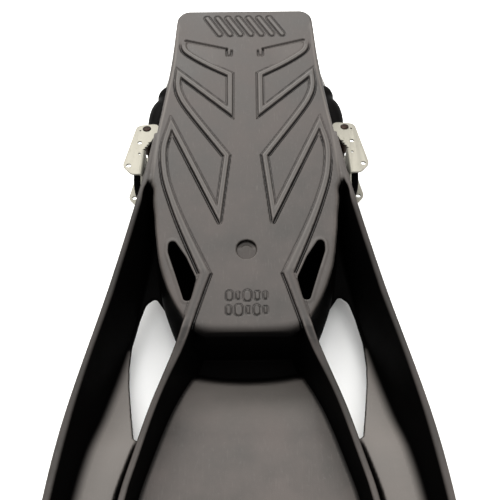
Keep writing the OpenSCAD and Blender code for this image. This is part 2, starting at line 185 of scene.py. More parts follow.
def smoothLine(points, steps=8):
    p = [np.array(q, float) for q in points]
    p = [2 * p[0] - p[1]] + p + [2 * p[-1] - p[-2]]
    made = []
    for i in range(1, len(p) - 2):
        for k in range(steps):
            t = k / steps
            made.append(tuple(0.5 * (2 * p[i] + (p[i + 1] - p[i - 1]) * t
                                     + (2 * p[i - 1] - 5 * p[i] + 4 * p[i + 1] - p[i + 2]) * t * t
                                     + (3 * p[i] - p[i - 1] - 3 * p[i + 1] + p[i + 2]) * t**3)))
    made.append(tuple(p[-2]))
    return made


# Plan and side lines of the moulding
toe, wide, tip = fin["soleLength"], fin["halfWidth"], fin["finLength"]
soleEdge = [[0, 57.6], [14, 59.2], [58, 62], [103, 68], [130, 72], [168, 74.6], [174, 74], [179, 71.8],
            [190, 71.4], [203, 69.6], [215, 68.4], [toe - 57, 64.5], [toe - 42, 60], [toe - 28, 54],
            [toe - 13, 45.2], [toe - 5, 39], [toe, 32]]
railOut = [[130, 73.5], [172, 81], [258, 99.5], [358, wide - 13], [425, wide - 3.5], [500, wide],
           [tip, wide - 1.5]]
railIn = [[130, 72], [168, 75.4], [174, 77], [179, 79], [190, 80.3], [204, 83], [258, 94.6], [267, 96.6],
          [315, 109.2], [358, wide - 18.4], [425, wide - 8.6], [500, wide - 5], [tip, wide - 6.5]]
railDraft = [[174, 0.10], [200, 0.16], [258, 0.21], [358, 0.25], [425, 0.27], [tip, 0.27]]
ribLine = [[toe - 47, 30.5], [toe - 12, 41.5], [toe + 4, 46.3], [toe + 46, 62.8], [toe + 85, 74.8],
           [toe + 104, 80.2], [toe + 162, 92], [toe + 222, 99], [tip, 104]]
ribHalf = [[toe - 47, 3.9], [toe, 3.5], [toe + 40, 2.5], [tip, 2.4]]
pocketEdge = [[0, 54], [40, 60], [103, 67], [147, 71], [181, 73.4], [200, 73.6], [240, 71],
              [toe - 38, 68], [toe - 21, 63], [toe - 7, 58], [toe, 54]]
railTop = [[130, 0], [450, 0], [560, -3], [tip, -8]]
railBottom = [[130, -12], [160, -30], [200, -52], [250, -63], [300, -66], [400, -60], [500, -51],
              [tip, -40]]
sideTop = [[170, -2], [176, -10], [184, -30], [200, -44], [215, -48], [250, -50], [300, -50],
           [345, -42], [372, -31], [405, -26], [450, -24], [tip, -19]]
ribBottom = [[toe, -66], [toe + 45, -56], [toe + 107, -44], [450, -38], [tip, -26]]
pocketBottom = [[0, -30], [60, -52], [116, -82], [185, -88], [240, -82], [toe - 20, -73], [toe, -66]]
ventOutline = rounded([(249.5, 73, 3), (255, 80, 8), (271, 85.4, 30), (289, 89.2, 30), (307, 90.2, 30),
                       (322, 89.0, 30), (345, 85.2, 30), (362, 81.6, 2), (364.5, 78, 2), (340, 62, 2),
                       (300, 46, 2), (268, 60, 4)])
drainOutline = rounded([(218.5, 57.5, 3), (233, 58.2, 12), (250, 52.4, 20), (273.5, 44.6, 2.4),
                        (270.5, 40.6, 2.4), (254.5, 36.8, 4), (238, 44.5, 20)])

# The tread's ridge is one folded line from heel to toe, with its half width at each point
treadLine = [(px, py, fin["ridgeHalf"]) for px, py in
             smoothLine([(33, 51.5), (38, 52.5), (46, 49), (58, 33), (70, 12.5)])
             + [(107.5, 12.5)] + smoothLine([(68, 55.5), (80, 56), (92, 53), (108, 44), (150, 15)])
             + [(202.5, 21)]]
growing = [fin["ridgeHalf"], 2.6, 3.9]
treadLine += [(px, py, float(np.interp(px, [119, 190, toe - 47], growing))) for px, py in
              smoothLine([(119, 60), (142, 65), (166, 63.2), (188, 57), (toe - 84, 47), (toe - 47, 30.5)])]
treadLine += [(px, float(along(ribLine, px)), 3.7) for px in
              (toe - 38, toe - 29, toe - 20, toe - 12, toe - 4)]
treadLine += [(toe + 6, 47.0, 3.5)]
browPanel = [(34, 51), (40, 51), (50, 43), (62, 20), (60, 12), (44, 14)]


# Distance behind the sole's bowed toe edge
def pastToe(x, y):
    return x - fin["toeBow"] * np.clip(1 - (y / 48)**2, 0, 1) - toe


# Distance in from a rail's leaning inner wall
def inFromRail(x, y, z):
    return along(railIn, x) - along(railDraft, x) * np.clip(-z, 0, 48) - y


# A web that lies under a surface, from the height over that surface
def webUnder(over):
    return np.abs(over + fin["webThickness"] / 2) - fin["webThickness"] / 2


# Height of the sole's tread over the flat of the sole
def treadHeight(x, y):
    h = np.zeros(np.broadcast(x, y).shape)
    h -= fin["panelDrop"] * smoothStep(0.5, -0.9, polygonDistance(browPanel, x, y)) * smoothStep(14, 34, y)
    d, half, toeward = foldedLine(treadLine, x, y)
    begun = smoothStep(32, 42, x)
    deep = smoothStep(-0.25, 0.45, toeward)
    h = h * smoothStep(half - 0.6, half + 1.4, d)
    h += begun * fin["ridgeHeight"] * (1 - np.clip(d / half, 0, 1)**2)
    groove = np.abs(d - half - 0.35 - 0.35 * deep)
    groove = smoothStep(0.7 + 0.55 * deep, 0.1 + 0.35 * deep, groove)
    h -= begun * fin["grooveDepth"] * (0.6 + 0.9 * deep) * groove
    hook = lineDistance([(43, 15.5), (50.3, 15.2), (50.3, 11.6), (44.5, 11.2)], x, y)
    h -= 1.3 * smoothStep(1.2, 0.3, hook)
    brow = lineDistance([(33.5, 50.5), (43, 15.5)], x, y)
    h -= 1.5 * smoothStep(1.5, 0.6, brow)
    drain = polygonDistance(drainOutline, x, y)
    h += 0.5 * smoothStep(3.4, 1.6, drain) * smoothStep(half + 0.5, half + 2.5, d)
    r = np.hypot(x - fin["recessX"], y)
    h -= fin["recessDepth"] * smoothStep(fin["recessRadius"] + 0.4, fin["recessRadius"] - 0.4, r)
    heelward = (fin["recessX"] - x) / np.maximum(r, 0.1)
    h -= 2.2 * smoothStep(2.6, 0.6, np.abs(r - 6.2)) * smoothStep(0.1, 0.9, heelward)
    return h * smoothStep(0, 3, toe - x)


# Plain raised bars: leaning ones at the heel and two rows of short ones near the toe
heelBars = {"count": 7, "pitch": 9, "lean": 5.5, "from": 9, "to": 27, "height": 0.55}
toeBars = {"rows": ((268.5, (5, 3, 6, 4, 3)), (279.5, (4, 6, 3, 5, 3))), "side": -15.0,
           "reach": 1.6, "gap": 2.2, "height": 0.6}


def barHeight(x, y):
    h = np.zeros(np.broadcast(x, y).shape)
    lean = heelBars["lean"]
    for k in range(heelBars["count"]):
        c = (k - (heelBars["count"] - 1) / 2) * heelBars["pitch"]
        d = lineDistance([(heelBars["from"], c - lean), (heelBars["to"], c + lean)], x, y)
        h += heelBars["height"] * smoothStep(1.9, 1.2, d) - 0.75 * smoothStep(0.8, 0.2, np.abs(d - 2.6))
    for row, widths in toeBars["rows"]:
        at = toeBars["side"]
        near, far = row - toeBars["reach"], row + toeBars["reach"]
        for w in widths:
            d = lineDistance([(near, at + w / 2), (far, at + w / 2)], x, y) - w / 2 + 1
            h += toeBars["height"] * smoothStep(0.7, -0.1, d) - 0.7 * smoothStep(0.6, 0.1, np.abs(d - 1.1))
            at += w + toeBars["gap"]
    return h


# Distance field of the whole rubber moulding, for one half of the fin
def finField(x, y, z, tread, vent, drain):
    depth = -z
    # Sole slab
    soft = np.interp(x, [20, 60, 150, 200, toe - 18, toe - 6], [2.2, 4.0, 4.0, 3.6, 3.6, 6.5])
    outline = cutBoth(offCurve(soleEdge, x, y), -x, fin["heelCorner"])
    outline = np.maximum(outline, x - toe)
    slab = np.maximum(z - tread, -fin["soleThickness"] - z)
    sole = cutBoth(outline, slab, soft)

    # Foot pocket: a shell under the sole with its mouth at the heel and a bead round the mouth
    w, h = along(pocketEdge, x), -along(pocketBottom, x) - fin["soleThickness"]
    d = np.maximum(depth - fin["soleThickness"], 0)
    flank = np.minimum(w, along(soleEdge, x) - 0.8)
    w = np.where(x > fin["webStart"], flank + (w + 2 - flank) * smoothStep(2, 46, d), w)
    m, n = fin["pocketSide"], fin["pocketCrown"]  # powers of its rounded section

    def shellField(shrink):
        u, v = np.maximum(y / (w - shrink), 1e-3), np.maximum(d / (h - shrink), 1e-3)
        f = u**m + v**n - 1
        g = np.hypot(m * u**(m - 1) / (w - shrink), n * v**(n - 1) / (h - shrink))
        return np.clip(f / np.maximum(g, 1e-3), -40, 40), u, v

    outer, u, v = shellField(0)
    inner = shellField(fin["pocketWall"])[0]
    share = v**n / (v**n + u**m + 1e-4)
    mouth = fin["openingFrom"] + (fin["openingTo"] - fin["openingFrom"]) * share - x
    grade = np.sqrt(1 + np.gradient(mouth, z[0, 0], axis=2)**2 + np.gradient(mouth, y[0, :, 0], axis=1)**2)
    mouth = mouth / np.minimum(grade, 8)
    cavity = cutBoth(cutBoth(inner, x - toe + 8, 12), z + fin["soleThickness"], 3)
    shell = cutBoth(cutBoth(outer, mouth, 2), x - toe, 3)
    shell = np.maximum(np.maximum(shell, -cavity), z + 4)
    bead = np.maximum(np.hypot(outer + 1.5, mouth + 2.6) - fin["openingBead"], z + 6)
    body = join(join(shell, bead, 2), sole, 2.5)

    # Outer rail
    rail = np.maximum(offCurve(railOut, x, y), inFromRail(x, y, z))
    rail = cutBoth(rail, np.maximum(offCurve(railTop, x, z), -offCurve(railBottom, x, z)), 1.7)
    rail = np.maximum(rail, fin["railStart"] - x)
    body = join(body, rail, 3)

    # Vented side web between rib and rail
    reach = np.where(x < toe, along(pocketEdge, x) - 3, along(ribLine, x) - 2)
    over = offCurve(sideTop, x, z)
    over = over + 5 * smoothStep(11.5, 8.0, y - along(ribLine, x)) * smoothStep(toe + 60, toe + 76, x)
    ending = np.maximum(y - along(railIn, x) - 4, fin["webStart"] - x)
    web = np.maximum(np.maximum(webUnder(over), reach - y), ending)
    body = join(body, cutBoth(web, -vent, 1.0), 2.5)

    # Blade web and the floor of the channel in front of the toe
    bow = pastToe(x, y)
    rise = -25 - 27 * np.exp(-np.maximum(bow - 16.5, 0) / 48) + 0.022 * np.maximum(bow + toe - 400, 0)
    rise = -63 + (rise + 63) * smoothStep(8, 18, bow)
    channelFloor = np.maximum(np.abs(z + 65) - 3, np.abs(x - toe - 8) - 14)
    panel = np.minimum(webUnder(z - rise) * 0.92, channelFloor)
    panel = np.maximum(np.maximum(panel, y - along(ribLine, x)), toe - 6 - x)
    body = join(body, panel, 1.6)

    # Inner rib with a crowned top
    across, half = y - along(ribLine, x), along(ribHalf, x)
    rib = np.maximum(across - 0.03 * depth, -across - 0.12 * depth) - half
    ribTop = offCurve(railTop, x, z) + fin["ridgeHeight"] * np.clip(across / half, -1.3, 1.3)**2
    ribTop = ribTop + 0.4 - smoothStep(toe + 12, toe, x) * (fin["ridgeHeight"] + 0.4)
    ribTop = ribTop + 1.2 * smoothStep(toe - 9, toe - 24, x)
    rib = cutBoth(rib, np.maximum(ribTop, -offCurve(ribBottom, x, z)), 1.2)
    rib = np.maximum(rib, np.maximum(toe - 26 - x, np.minimum(toe - 7 - x, -7 - z)))
    body = join(body, rib, np.interp(x, [toe - 2, toe + 8], [0.01, 1.0]))

    # Strap post with its boss and knob
    r = np.hypot(x - fin["postX"], z + fin["postDepth"])
    boss = cutBoth(r - fin["bossRadius"] + 0.13 * (y - 69), np.abs(y - 76) - 8.2, 1)
    body = join(body, boss, 2)
    body = np.minimum(body, np.maximum(r - fin["postRadius"], np.abs(y - 85) - 2))
    knob = cutBoth(r - fin["knobRadius"], np.abs(y - 89.65) - 3.25, 1.8)
    body = np.minimum(body, np.maximum(knob, -np.maximum(np.hypot(r, (y - 94.5) * 2) - 6, -2.0)))

    # Blade tip and the drain through the sole
    ends = x - tip + fin["tipBow"] * np.maximum(0, 1 - (y / 62)**2)
    body = cutBoth(body, cutBoth(ends, y - wide, fin["tipCorner"]), 1.5)
    return cutBoth(body, -np.maximum(drain, np.abs(z + 4) - 9), 1.0)


def sample(field, axes, p):
    at = [np.clip(np.interp(p[:, k], axes[k], np.arange(len(axes[k]))), 0, len(axes[k]) - 1.001)
          for k in range(3)]
    i = [a.astype(np.int64) for a in at]
    t = [a - b for a, b in zip(at, i)]
    total = np.zeros(len(p))
    for dx in (0, 1):
        for dy in (0, 1):
            for dz in (0, 1):
                w = (t[0] if dx else 1 - t[0]) * (t[1] if dy else 1 - t[1]) * (t[2] if dz else 1 - t[2])
                total += w * field[i[0] + dx, i[1] + dy, i[2] + dz]
    return total


def gradient(field, axes, p, step):
    g = np.zeros((len(p), 3))
    for k in range(3):
        e = np.zeros(3)
        e[k] = step
        g[:, k] = (sample(field, axes, p + e) - sample(field, axes, p - e)) / (2 * step)
    return g


def normalsAt(field, axes, p):
    g = gradient(field, axes, p, 0.4)
    return g / np.maximum(np.linalg.norm(g, axis=1), 1e-6)[:, None]


# Quads on the zero surface of a field, one vertex per crossed cell
def surfaceOf(field, axes):
    inside = field < 0
    n = [s - 1 for s in field.shape]
    count = np.zeros(n, np.int8)
    for dx in (0, 1):
        for dy in (0, 1):
            for dz in (0, 1):
                count += inside[dx:dx + n[0], dy:dy + n[1], dz:dz + n[2]]
    cells = np.argwhere((count > 0) & (count < 8))
    index = np.full(n, -1, np.int32)
    index[tuple(cells.T)] = np.arange(len(cells))
    total, hits = np.zeros((len(cells), 3)), np.zeros(len(cells))
    for axis in range(3):
        others = [k for k in range(3) if k != axis]
        for a in (0, 1):
            for b in (0, 1):
                low = cells.copy()
                low[:, others[0]] += a
                low[:, others[1]] += b
                high = low.copy()
                high[:, axis] += 1
                f, g = field[tuple(low.T)], field[tuple(high.T)]
                cross = (f < 0) != (g < 0)
                t = f[cross] / (f[cross] - g[cross])
                at = low[cross].astype(float)
                at[:, axis] += t
                total[cross] += at
                hits[cross] += 1
    at = total / hits[:, None]
    points = np.stack([np.interp(at[:, k], np.arange(len(axes[k])), axes[k]) for k in range(3)], 1)
    quads = []
    for axis in range(3):
        a, b = [(1, 2), (2, 0), (0, 1)][axis]
        first, second = np.moveaxis(inside, axis, 0)[:-1], np.moveaxis(inside, axis, 0)[1:]
        changed = np.argwhere(np.moveaxis(first != second, 0, axis))
        keep = (changed[:, a] > 0) & (changed[:, b] > 0)
        keep &= (changed[:, a] < n[a]) & (changed[:, b] < n[b])
        changed = changed[keep]
        around = []
        for da, db in ((1, 1), (0, 1), (0, 0), (1, 0)):
            c = changed.copy()
            c[:, a] -= da
            c[:, b] -= db
            around.append(index[tuple(c.T)])
        quad = np.stack(around, 1)
        solidLow = inside[tuple(changed.T)]
        quads.append(np.where(solidLow[:, None], quad, quad[:, ::-1]))
    quads = np.concatenate(quads)
    return points, quads[(quads >= 0).all(1)]


def newObject(name, mesh):
    obj = bpy.data.objects.new(name, mesh)
    bpy.context.scene.collection.objects.link(obj)
    return obj


def meshFrom(name, points, faces):
    mesh = bpy.data.meshes.new(name)
    mesh.vertices.add(len(points))
    mesh.vertices.foreach_set("co", np.asarray(points, np.float32).ravel())
    width = faces.shape[1]
    mesh.loops.add(faces.size)
    mesh.loops.foreach_set("vertex_index", faces.astype(np.int32).ravel())
    mesh.polygons.add(len(faces))
    mesh.polygons.foreach_set("loop_start", np.arange(0, faces.size, width, dtype=np.int32))
    mesh.update(calc_edges=True)
    mesh.validate()
    return mesh


def pointsOf(mesh):
    co = np.zeros(len(mesh.vertices) * 3, np.float32)
    mesh.vertices.foreach_get("co", co)
    return co.reshape(-1, 3).astype(float)


def movePoints(mesh, points):
    mesh.vertices.foreach_set("co", points.astype(np.float32).ravel())
    mesh.update()


def shadeSmooth(mesh):
    mesh.polygons.foreach_set("use_smooth", np.ones(len(mesh.polygons), bool))


# A plain mesh in place of the object's modifiers
def baked(obj):
    graph = bpy.context.evaluated_depsgraph_get()
    mesh = bpy.data.meshes.new_from_object(obj.evaluated_get(graph))
    obj.modifiers.clear()
    old = obj.data
    obj.data = mesh
    if isinstance(old, bpy.types.Mesh):
        bpy.data.meshes.remove(old)
    return obj


cornerInset = 1.4
hollowReach = ((1.0, 0.3), (2.2, 0.3), (5.0, 0.25), (10.0, 0.15))  # distance and weight
edgeReach = (1.2, 2.4)


# A mesh of a field with its normals and three masks: hollows for painted shade, edges for rubbed wear and painted
# highlights, and the light share of bloom and painted light.
# They are read a little inside each triangle's corners, so that long thin triangles leave no streaks.
def fieldPiece(name, field, axes, triangles, place, origin, bloomAndLightOf, edgeOf):
    points, quads = surfaceOf(field, axes)
    for _ in range(2):
        g = gradient(field, axes, points, 0.35)
        size = np.maximum((g**2).sum(1), 0.25)
        move = -(sample(field, axes, points) / size)[:, None] * g
        points = points + np.clip(move, -0.4, 0.4)
    obj = newObject(name, meshFrom(name, points, quads))
    if 2 * len(quads) > triangles:
        normal = normalsAt(field, axes, points)
        tone = bloomAndLightOf(points, normal)
        fading = (normal[:, 2] > 0.8) & (tone > 0.04) & (tone < 0.96)
        free = obj.vertex_groups.new(name="free")
        free.add(np.flatnonzero(~fading).tolist(), 1.0, "REPLACE")
        print(name, "vertices kept where the bloom fades:", int(fading.sum()))
        fewer = obj.modifiers.new("fewer", "DECIMATE")
        fewer.vertex_group, fewer.vertex_group_factor = "free", 1.0
        fewer.ratio = triangles / (2 * len(quads))
        fewer.use_collapse_triangulate = True
        baked(obj)
    mesh = obj.data
    p = pointsOf(mesh)
    corners = np.zeros(len(mesh.loops), np.int32)
    mesh.loops.foreach_get("vertex_index", corners)
    spots = p[corners].reshape(len(mesh.polygons), -1, 3)
    inward = spots.mean(1, keepdims=True) - spots
    far = np.linalg.norm(inward, axis=2, keepdims=True)
    inset = cornerInset * smoothStep(cornerInset, 2 * cornerInset, far)
    at = (spots + inward / np.maximum(far, 1e-6) * inset).reshape(-1, 3)
    normal = normalsAt(field, axes, at)
    hollow = np.zeros(len(at))
    edge = np.zeros(len(at))
    # Hollow mask: how shut in each point is, for painted shade in grooves and hollows
    for reach, weight in hollowReach:
        hollow += weight * np.clip(1 - sample(field, axes, at + normal * reach) / reach, 0, 1)
    for reach in edgeReach:
        edge += 0.5 * np.clip(1 + sample(field, axes, at - normal * reach) / reach, 0, 1)
    for label, values in (("hollow", hollow), ("edge", edgeOf(at, edge)), ("bloomAndLight", bloomAndLightOf(at, normal))):
        mask = mesh.attributes.new(label, "FLOAT", "CORNER")
        mask.data.foreach_set("value", values.astype(np.float32))
    shadeSmooth(mesh)
    movePoints(mesh, toRow(p, place, origin))
    mesh.normals_split_custom_set((normal @ place.T).astype(np.float32))
    print(name, len(quads) * 2, "triangles made", len(mesh.polygons))
    return obj


# Grid lines from stretches of (from, to, pitch)
def steps(edges):
    made = [np.array([edges[0][0]], float)]
    for low, high, pitch in edges:
        n = max(1, round((high - low) / pitch))
        made.append(np.linspace(low, high, n + 1)[1:])
    return np.concatenate(made)


# Light share of each face, partly chalky bloom and partly painted light: most on the faces that look up; walls,
# the toe channel and the deep places beside them get none and stay black as painted shade
def finBloomAndLight(p, normal):
    x, y, z = p[:, 0], np.abs(p[:, 1]), p[:, 2]
    share = smoothStep(0.35, 0.86, normal[:, 2])
    # Painted highlight on the sole's rounded side edge near the heel
    share = np.where((x < 160) & (z > -7), np.maximum(share, 0.85 * smoothStep(-6, -1, z)), share)
    share = share * np.where((y > 75) & (np.hypot(x - fin["postX"], z + fin["postDepth"]) < 19), 0.03, 1)
    # Below the sole, the blade panel fades in from black past the toe and the side web beside the rib and rail:
    # painted shade
    low, middle = z < -12, along(ribLine, np.maximum(x, toe - 47))
    fromRib = middle - along(ribHalf, x) + 0.12 * z - y
    blade = smoothStep(11, 18, pastToe(x, y)) * smoothStep(-0.5, 4.5, fromRib)
    pastRib = y - middle + 9 * smoothStep(toe + 70, toe + 58, x)
    side = smoothStep(-0.5, 9, inFromRail(x, y, z)) * smoothStep(8.8, 11.6, pastRib)
    share = np.where(low, share * np.where(y < middle, blade, side), share)
    # Everything under the sole short of the toe stays black: painted shade
    share = np.where((x < toe - 4) & (z < -9), 0, share)
    # Painted shade over the last 10 mm before the sole's toe edge
    ending = toe - x - 5 * np.clip(y / 40, 0, 1)**4
    share = np.where((z > -9) & (y < middle - 4.6), share * smoothStep(-0.5, 10, ending), share)
    # Painted shadow in the stamp's round recess
    share = np.where(np.hypot(x - fin["recessX"], y) < 7, share * 0.62, share)
    onRib = ~low & (x > toe - 6) & (np.abs(y - middle) < 5)
    share = np.where(onRib, share * (0.6 + 0.4 * smoothStep(toe + 30, toe + 110, x)), share)
    onRail = (z > -12) & (y > along(railIn, x) - 4) & (x > fin["webStart"])
    lip = 0.35 + 0.65 * smoothStep(-0.2, 2.6, y - along(railIn, x))
    tone = (0.5 + 0.5 * smoothStep(190, 430, x)) * lip
    tone = 1 - (1 - tone) * smoothStep(174, 200, x)
    return np.where(onRail, share * tone, share)


# Edge mask: rubbed wear on convex edges, painted highlights on the tread crests and the sole's rim, and painted
# light on the blade panel and side web in the deep places
def finEdge(p, edge):
    x, y, z = p[:, 0], np.abs(p[:, 1]), p[:, 2]
    # Painted highlight along the tread crests
    crest = smoothStep(0.28, 0.62, z) * (x < toe + 4) * np.where(x > toe - 50, 0.5, 1.0)
    # Painted highlight on the sole's rim near the heel
    rim = np.abs(offCurve(soleEdge, x, y) + 2.4)
    rim = 0.7 * smoothStep(1.8, 0.4, rim) * (z > -3) * smoothStep(190, 150, x) * smoothStep(6, 20, x)
    low, middle = z < -12, along(ribLine, np.maximum(x, toe - 47))
    # Painted light on the side web and on the blade panel near the toe
    lit = np.where(y > middle, smoothStep(470, 380, x), 0.7 * smoothStep(toe + 90, toe + 20, x))
    onRib = (x > toe - 10) & (np.abs(y - middle) < 5) & ~low
    edge = np.where(onRib, edge * (0.3 + 0.7 * smoothStep(toe + 60, toe + 130, x)), edge)
    return np.maximum(edge, np.maximum(np.maximum(crest, rim), np.where(low, lit, 0)))


# Heel pad: a light share on faces that look up, partly bloom and partly painted light
def evenBloomAndLight(p, normal):
    return 0.25 * smoothStep(0.3, 0.95, normal[:, 2])


def evenEdge(p, edge):
    return edge


# Grid of the half fin, finer where the tread and the ribs are, then its mirror and the raised bars
coarser = 1.0
fine, coarse = fin["finePitch"] * coarser, fin["coarsePitch"] * coarser
xs = steps([(-3, toe + 3, fine), (toe + 3, tip + 4, coarse)])
ys = steps([(0, 78, fine), (78, wide + 3, coarse * 0.8)])
zs = steps([(-93, -66, 2.0 * coarser), (-66, -14, 1.2 * coarser), (-14, -3, 1.0), (-3, 2.4, 0.45)])
planX, planY = xs[:, None], ys[None, :]
tread = treadHeight(planX, planY)[:, :, None]
vent = polygonDistance(ventOutline, planX, planY)[:, :, None]
drain = polygonDistance(drainOutline, planX, planY)[:, :, None]
halfField = np.empty((len(xs), len(ys), len(zs)), np.float32)
for i in range(0, len(xs), 40):
    part = slice(i, i + 40)
    halfField[part] = finField(xs[part, None, None], ys[None, :, None], zs[None, None, :],
                               tread[part], vent[part], drain[part])
finGrid = np.concatenate([halfField[:, :0:-1], halfField], 1)
fullY = np.concatenate([-ys[:0:-1], ys])
bars = barHeight(planX, fullY[None, :])
plain = np.concatenate([tread[:, :0:-1, 0], tread[:, :, 0]], 1)
near, top = np.abs(bars) > 1e-3, zs > -3.0
raised = finGrid[:, :, top]
raised[near] = zs[None, top] - (bars + plain)[near][:, None]
finGrid[:, :, top] = raised
del halfField
print("moulding field", finGrid.shape)
moulding = fieldPiece("finMoulding", finGrid, (xs, fullY, zs), fin["triangles"] // (1),
                      finAxes, finOrigin, finBloomAndLight, finEdge)
del finGrid


# Strap pieces: points in the strap frame, whose origin is the post axis
strap = {"pinBack": 44, "webY": 84.5, "legAngle": 10.4, "sleeveLength": 76, "springLength": 46}
legY = strap["webY"] + 1  # the legs' middle line at the pins
legEnd = strap["sleeveLength"] + strap["springLength"]


def legToStrap(points, side):
    a = math.radians(strap["legAngle"]) * side
    p = np.asarray(points, float)
    x, y = p[:, 0] * math.cos(a) - p[:, 1] * math.sin(a), p[:, 0] * math.sin(a) + p[:, 1] * math.cos(a)
    return np.stack([x - strap["pinBack"], y + side * legY, p[:, 2]], 1)


def strapRow(points):
    return toRow(points, strapAxes, strapOrigin)


# Distance to an ellipse about the origin
def offEllipse(x, y, halfX, halfY):
    u, v = x / halfX, y / halfY
    q = np.hypot(u, v)
    return np.clip((q - 1) * q / np.maximum(np.hypot(u / halfX, v / halfY), 1e-4), -30, 30)


padSizes = {
    "rear": 213, "height": 28, "halfWidth": 48, "outside": 3.9, "inside": 3.6, "foldPitch": 4.6,
    "bandHalf": 3.4, "bandReach": 11, "loopGap": 20, "loopHalf": 34, "loopHalfThick": 2.9, "loopReach": 7.8,
    "gripPitch": 4.2, "cuffRadius": 9.4, "cuffBore": 7.4, "pitch": 0.8, "triangles": 60000,
}


# Heel pad: curved band, padded back with folds, pull loop with grip bars and two cuffs for the springs
def padField(x, y, z):
    a = math.radians(strap["legAngle"])
    back = strap["pinBack"] + legEnd * math.cos(a)
    halfSpan = legY - legEnd * math.sin(a)
    deep = padSizes["rear"] - back - 4
    y = np.abs(y)
    ring = offEllipse(x + back + 10, y, deep - 10, halfSpan)
    behind = x + back + 12
    band = cutBoth(np.abs(ring) - padSizes["bandHalf"], np.abs(z) - padSizes["bandReach"], 2.0)
    band = cutBoth(band, behind, 1)
    fold = 0.45 * smoothStep(0.55, 1.0, np.cos(2 * np.pi * z / padSizes["foldPitch"]))
    fold = fold * smoothStep(13.5, 10.5, np.abs(z)) * smoothStep(44, 38, y)
    pad = np.maximum(ring - padSizes["outside"] + fold, -ring - padSizes["inside"])
    pad = cutBoth(pad, np.abs(z) - padSizes["height"] / 2, 2.4)
    pad = cutBoth(cutBoth(pad, y - padSizes["halfWidth"], 3), behind, 1)
    body = join(band, pad, 3)
    loopX = x + back + deep - 8
    loop = offEllipse(loopX, y, 15 + padSizes["loopGap"], padSizes["loopHalf"])
    grip = 0.5 * smoothStep(0.3, 1, np.cos(2 * np.pi * y / padSizes["gripPitch"])) * smoothStep(20, 16, y)
    loop = cutBoth(np.abs(loop) - padSizes["loopHalfThick"] + grip, np.abs(z) - padSizes["loopReach"], 2.0)
    body = join(body, np.maximum(loop, loopX), 4)
    legX = -(x + strap["pinBack"]) * math.cos(a) - (y - legY) * math.sin(a)
    r = np.hypot(-(x + strap["pinBack"]) * math.sin(a) + (y - legY) * math.cos(a), z)
    at = legX - legEnd
    lip = 0.9 * smoothStep(2.4, 1.4, np.abs(at - 3))
    cuff = r - padSizes["cuffRadius"] - lip + 0.8 * smoothStep(6, 18, at)
    body = join(body, cutBoth(cuff, np.abs(at - 10.5) - 10.3, 1.6), 4)
    return np.maximum(body, -np.maximum(r - padSizes["cuffBore"], at - 10))


padPitch = padSizes["pitch"] * coarser
padAxes = [steps([(-246, -150, padPitch)]), steps([(-80, 80, padPitch)]),
           steps([(-17, 17, 0.75 * padPitch)])]
padGrid = padField(padAxes[0][:, None, None], padAxes[1][None, :, None], padAxes[2][None, None, :])
heelPad = fieldPiece("heelPad", padGrid.astype(np.float32), padAxes, padSizes["triangles"],
                     strapAxes, strapOrigin, evenBloomAndLight, evenEdge)


# Turned piece: profile of (distance along the leg, radius) points, or across it, closed at its ends
def turned(name, profile, side, around, across=False):
    ring = np.linspace(0, 2 * math.pi, around, endpoint=False)
    n = len(profile)
    points = []
    for at, r in profile:
        c, s = np.cos(ring) * r, np.sin(ring) * r
        if across:
            points.append(np.stack([c, s, np.full(around, at)], 1))
        else:
            points.append(np.stack([np.full(around, -at), c, s], 1))
    points = np.concatenate(points)
    k, j = np.meshgrid(np.arange(n - 1), np.arange(around), indexing="ij")
    a, b = k * around + j, k * around + (j + 1) % around
    quads = np.stack([a, b, b + around, a + around], -1).reshape(-1, 4)
    mesh = meshFrom(name, strapRow(legToStrap(points, side)), quads)
    obj = newObject(name, mesh)
    bm = bmesh.new()
    bm.from_mesh(mesh)
    if profile[0] == profile[-1]:
        bmesh.ops.remove_doubles(bm, verts=bm.verts, dist=1e-7)
    else:
        bmesh.ops.holes_fill(bm, edges=[e for e in bm.edges if e.is_boundary], sides=0)
    bmesh.ops.recalc_face_normals(bm, faces=bm.faces)
    bm.to_mesh(mesh)
    bm.free()
    shadeSmooth(mesh)
    return obj


# Clevis pin with a rounded head and a groove for its clip
pinSizes = {"radius": 3.0, "groove": 0.8, "tail": 3, "head": 0.6, "around": 48}


def makePin(name, side):
    r, clipAt = pinSizes["radius"], bracketSizes["height"] / 2 + 0.4
    thin, wideHead = r - pinSizes["groove"], r + pinSizes["head"]
    return turned(name, [
        (-clipAt - pinSizes["tail"], 0.2), (-clipAt - pinSizes["tail"], r - 0.9), (-clipAt - 2.7, r - 0.4),
        (-clipAt - 2.3, r), (-clipAt - 1.1, r), (-clipAt - 1, thin), (-clipAt, thin), (-clipAt + 0.1, r),
        (0, r), (clipAt - 0.4, r), (clipAt - 0.3, r + 0.5), (clipAt - 0.05, wideHead),
        (clipAt + 0.25, r + 0.3), (clipAt + 0.4, r - 0.5), (clipAt + 0.35, 0.2)],
        side, pinSizes["around"], across=True)


# Front sleeve: a rubber bulb over the hook and the spring's front end
sleeveSizes = {"front": 9, "bore": 3.1, "springBore": 7.7, "springFrom": 58.2, "around": 72}
sleeveShape = [(sleeveSizes["front"], 5.6), (9.6, 6.1), (12, 6.6), (22, 7.6), (32, 9.6), (39, 10.6),
               (45, 10.9), (51, 10.5), (57, 9.2), (61, 8.6), (64, 8.9), (67, 9.8), (70, 10), (73, 9.7),
               (75.4, 9.1), (strap["sleeveLength"], 8.4)]


def makeSleeve(name, side):
    mouth = (sleeveSizes["front"], sleeveSizes["bore"])
    step = sleeveSizes["springFrom"]
    inside = [(strap["sleeveLength"], sleeveSizes["springBore"]), (step, sleeveSizes["springBore"]),
              (step, sleeveSizes["bore"])]
    profile = [mouth] + smoothLine(sleeveShape, 7) + inside + [mouth]
    return turned(name, profile, side, sleeveSizes["around"])


